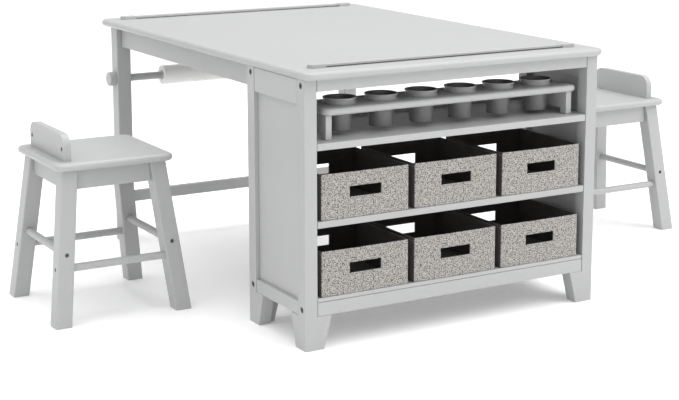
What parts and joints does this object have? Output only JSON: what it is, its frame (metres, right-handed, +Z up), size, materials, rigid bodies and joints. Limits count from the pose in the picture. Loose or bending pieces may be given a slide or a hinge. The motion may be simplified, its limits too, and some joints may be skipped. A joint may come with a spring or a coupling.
{
  "type": "children's craft table with storage cabinet and two stools",
  "caption": "Grey painted children's craft table with fabric storage bins, a cup tray and a paper roll, and matching square stools",
  "frame": {"origin": "On the floor, under the middle of the whole set's footprint (table and both stools).", "axes": "+X to the right across the table as seen from its cabinet end, +Y from the cabinet end to the paper-roll end, +Z up."},
  "size_m": [1.8482, 1.172, 0.624],
  "materials": {
    "painted_wood": "smooth satin light grey paint over wood",
    "bin_fabric": "grey-beige tweed fabric outside, near-black woven lining",
    "cup_plastic": "smoke grey translucent plastic",
    "bolt_steel": "dark zinc-plated steel",
    "roll_paper": "matt white drawing paper",
    "core_board": "plain brown cardboard"
  },
  "bodies": {
    "table": {"tabletop": "painted_wood", "paper_guide_near": "painted_wood", "paper_guide_far": "painted_wood", "guide_screws": "bolt_steel", "post_front_left": "painted_wood", "post_front_right": "painted_wood", "post_back_left": "painted_wood", "post_back_right": "painted_wood", "side_top_rail_left": "painted_wood", "side_top_rail_right": "painted_wood", "side_bottom_rail_left": "painted_wood", "side_bottom_rail_right": "painted_wood", "side_panel_left": "painted_wood", "side_panel_right": "painted_wood", "front_top_rail": "painted_wood", "back_top_rail": "painted_wood", "front_bottom_rail": "painted_wood", "back_bottom_rail": "painted_wood", "upper_shelf": "painted_wood", "middle_shelf": "painted_wood", "bottom_panel": "painted_wood", "cabinet_bolts": "bolt_steel", "apron_left": "painted_wood", "apron_right": "painted_wood", "apron_far": "painted_wood", "far_leg_left": "painted_wood", "far_leg_right": "painted_wood", "stretcher": "painted_wood"},
    "roller": {"roll_dowel": "painted_wood", "knob_left": "painted_wood", "knob_right": "painted_wood"},
    "paper": {"paper_core": "core_board", "paper_roll": "roll_paper"},
    "tray": {"tray_board": "painted_wood", "tray_end_left": "painted_wood", "tray_end_right": "painted_wood"},
    "cup_body_1": {"cup_1": "cup_plastic"},
    "cup_body_2": {"cup_2": "cup_plastic"},
    "cup_body_3": {"cup_3": "cup_plastic"},
    "cup_body_4": {"cup_4": "cup_plastic"},
    "cup_body_5": {"cup_5": "cup_plastic"},
    "cup_body_6": {"cup_6": "cup_plastic"},
    "bin_body_1": {"bin_1": "bin_fabric"},
    "bin_body_2": {"bin_2": "bin_fabric"},
    "bin_body_3": {"bin_3": "bin_fabric"},
    "bin_body_4": {"bin_4": "bin_fabric"},
    "bin_body_5": {"bin_5": "bin_fabric"},
    "bin_body_6": {"bin_6": "bin_fabric"},
    "left_stool": {"left_stool_seat": "painted_wood", "left_stool_lip": "painted_wood", "left_stool_legs": "painted_wood", "left_stool_aprons": "painted_wood", "left_stool_rungs": "painted_wood", "left_stool_screws": "bolt_steel"},
    "right_stool": {"right_stool_seat": "painted_wood", "right_stool_lip": "painted_wood", "right_stool_legs": "painted_wood", "right_stool_aprons": "painted_wood", "right_stool_rungs": "painted_wood", "right_stool_screws": "bolt_steel"}
  },
  "joints": [
    {"name": "bin_1_pull", "type": "slide", "parent": "table", "child": "bin_body_1", "axis": [0, -1, 0], "range_m": [0, 0.24]},
    {"name": "bin_2_pull", "type": "slide", "parent": "table", "child": "bin_body_2", "axis": [0, -1, 0], "range_m": [0, 0.24]},
    {"name": "bin_3_pull", "type": "slide", "parent": "table", "child": "bin_body_3", "axis": [0, -1, 0], "range_m": [0, 0.24]},
    {"name": "bin_4_pull", "type": "slide", "parent": "table", "child": "bin_body_4", "axis": [0, -1, 0], "range_m": [0, 0.24]},
    {"name": "bin_5_pull", "type": "slide", "parent": "table", "child": "bin_body_5", "axis": [0, -1, 0], "range_m": [0, 0.24]},
    {"name": "bin_6_pull", "type": "slide", "parent": "table", "child": "bin_body_6", "axis": [0, -1, 0], "range_m": [0, 0.24]},
    {"name": "tray_pull", "type": "slide", "parent": "table", "child": "tray", "axis": [0, -1, 0], "range_m": [0, 0.15]},
    {"name": "cup_1_lift", "type": "slide", "parent": "tray", "child": "cup_body_1", "axis": [0, 0, 1], "range_m": [0, 0.05]},
    {"name": "cup_2_lift", "type": "slide", "parent": "tray", "child": "cup_body_2", "axis": [0, 0, 1], "range_m": [0, 0.05]},
    {"name": "cup_3_lift", "type": "slide", "parent": "tray", "child": "cup_body_3", "axis": [0, 0, 1], "range_m": [0, 0.05]},
    {"name": "cup_4_lift", "type": "slide", "parent": "tray", "child": "cup_body_4", "axis": [0, 0, 1], "range_m": [0, 0.05]},
    {"name": "cup_5_lift", "type": "slide", "parent": "tray", "child": "cup_body_5", "axis": [0, 0, 1], "range_m": [0, 0.05]},
    {"name": "cup_6_lift", "type": "slide", "parent": "tray", "child": "cup_body_6", "axis": [0, 0, 1], "range_m": [0, 0.05]},
    {"name": "roller_turn", "type": "hinge", "parent": "table", "child": "roller", "pos_m": [-0.1165, 0.548, 0.454], "axis": [1, 0, 0], "continuous": true},
    {"name": "paper_turn", "type": "hinge", "parent": "roller", "child": "paper", "pos_m": [-0.1165, 0.548, 0.454], "axis": [1, 0, 0], "continuous": true},
    {"name": "left_stool_tuck", "type": "slide", "parent": "table", "child": "left_stool", "axis": [1, 0, 0], "range_m": [-0.2, 0.38]},
    {"name": "right_stool_tuck", "type": "slide", "parent": "table", "child": "right_stool", "axis": [-1, 0, 0], "range_m": [-0.2, 0.61]}
  ]
}
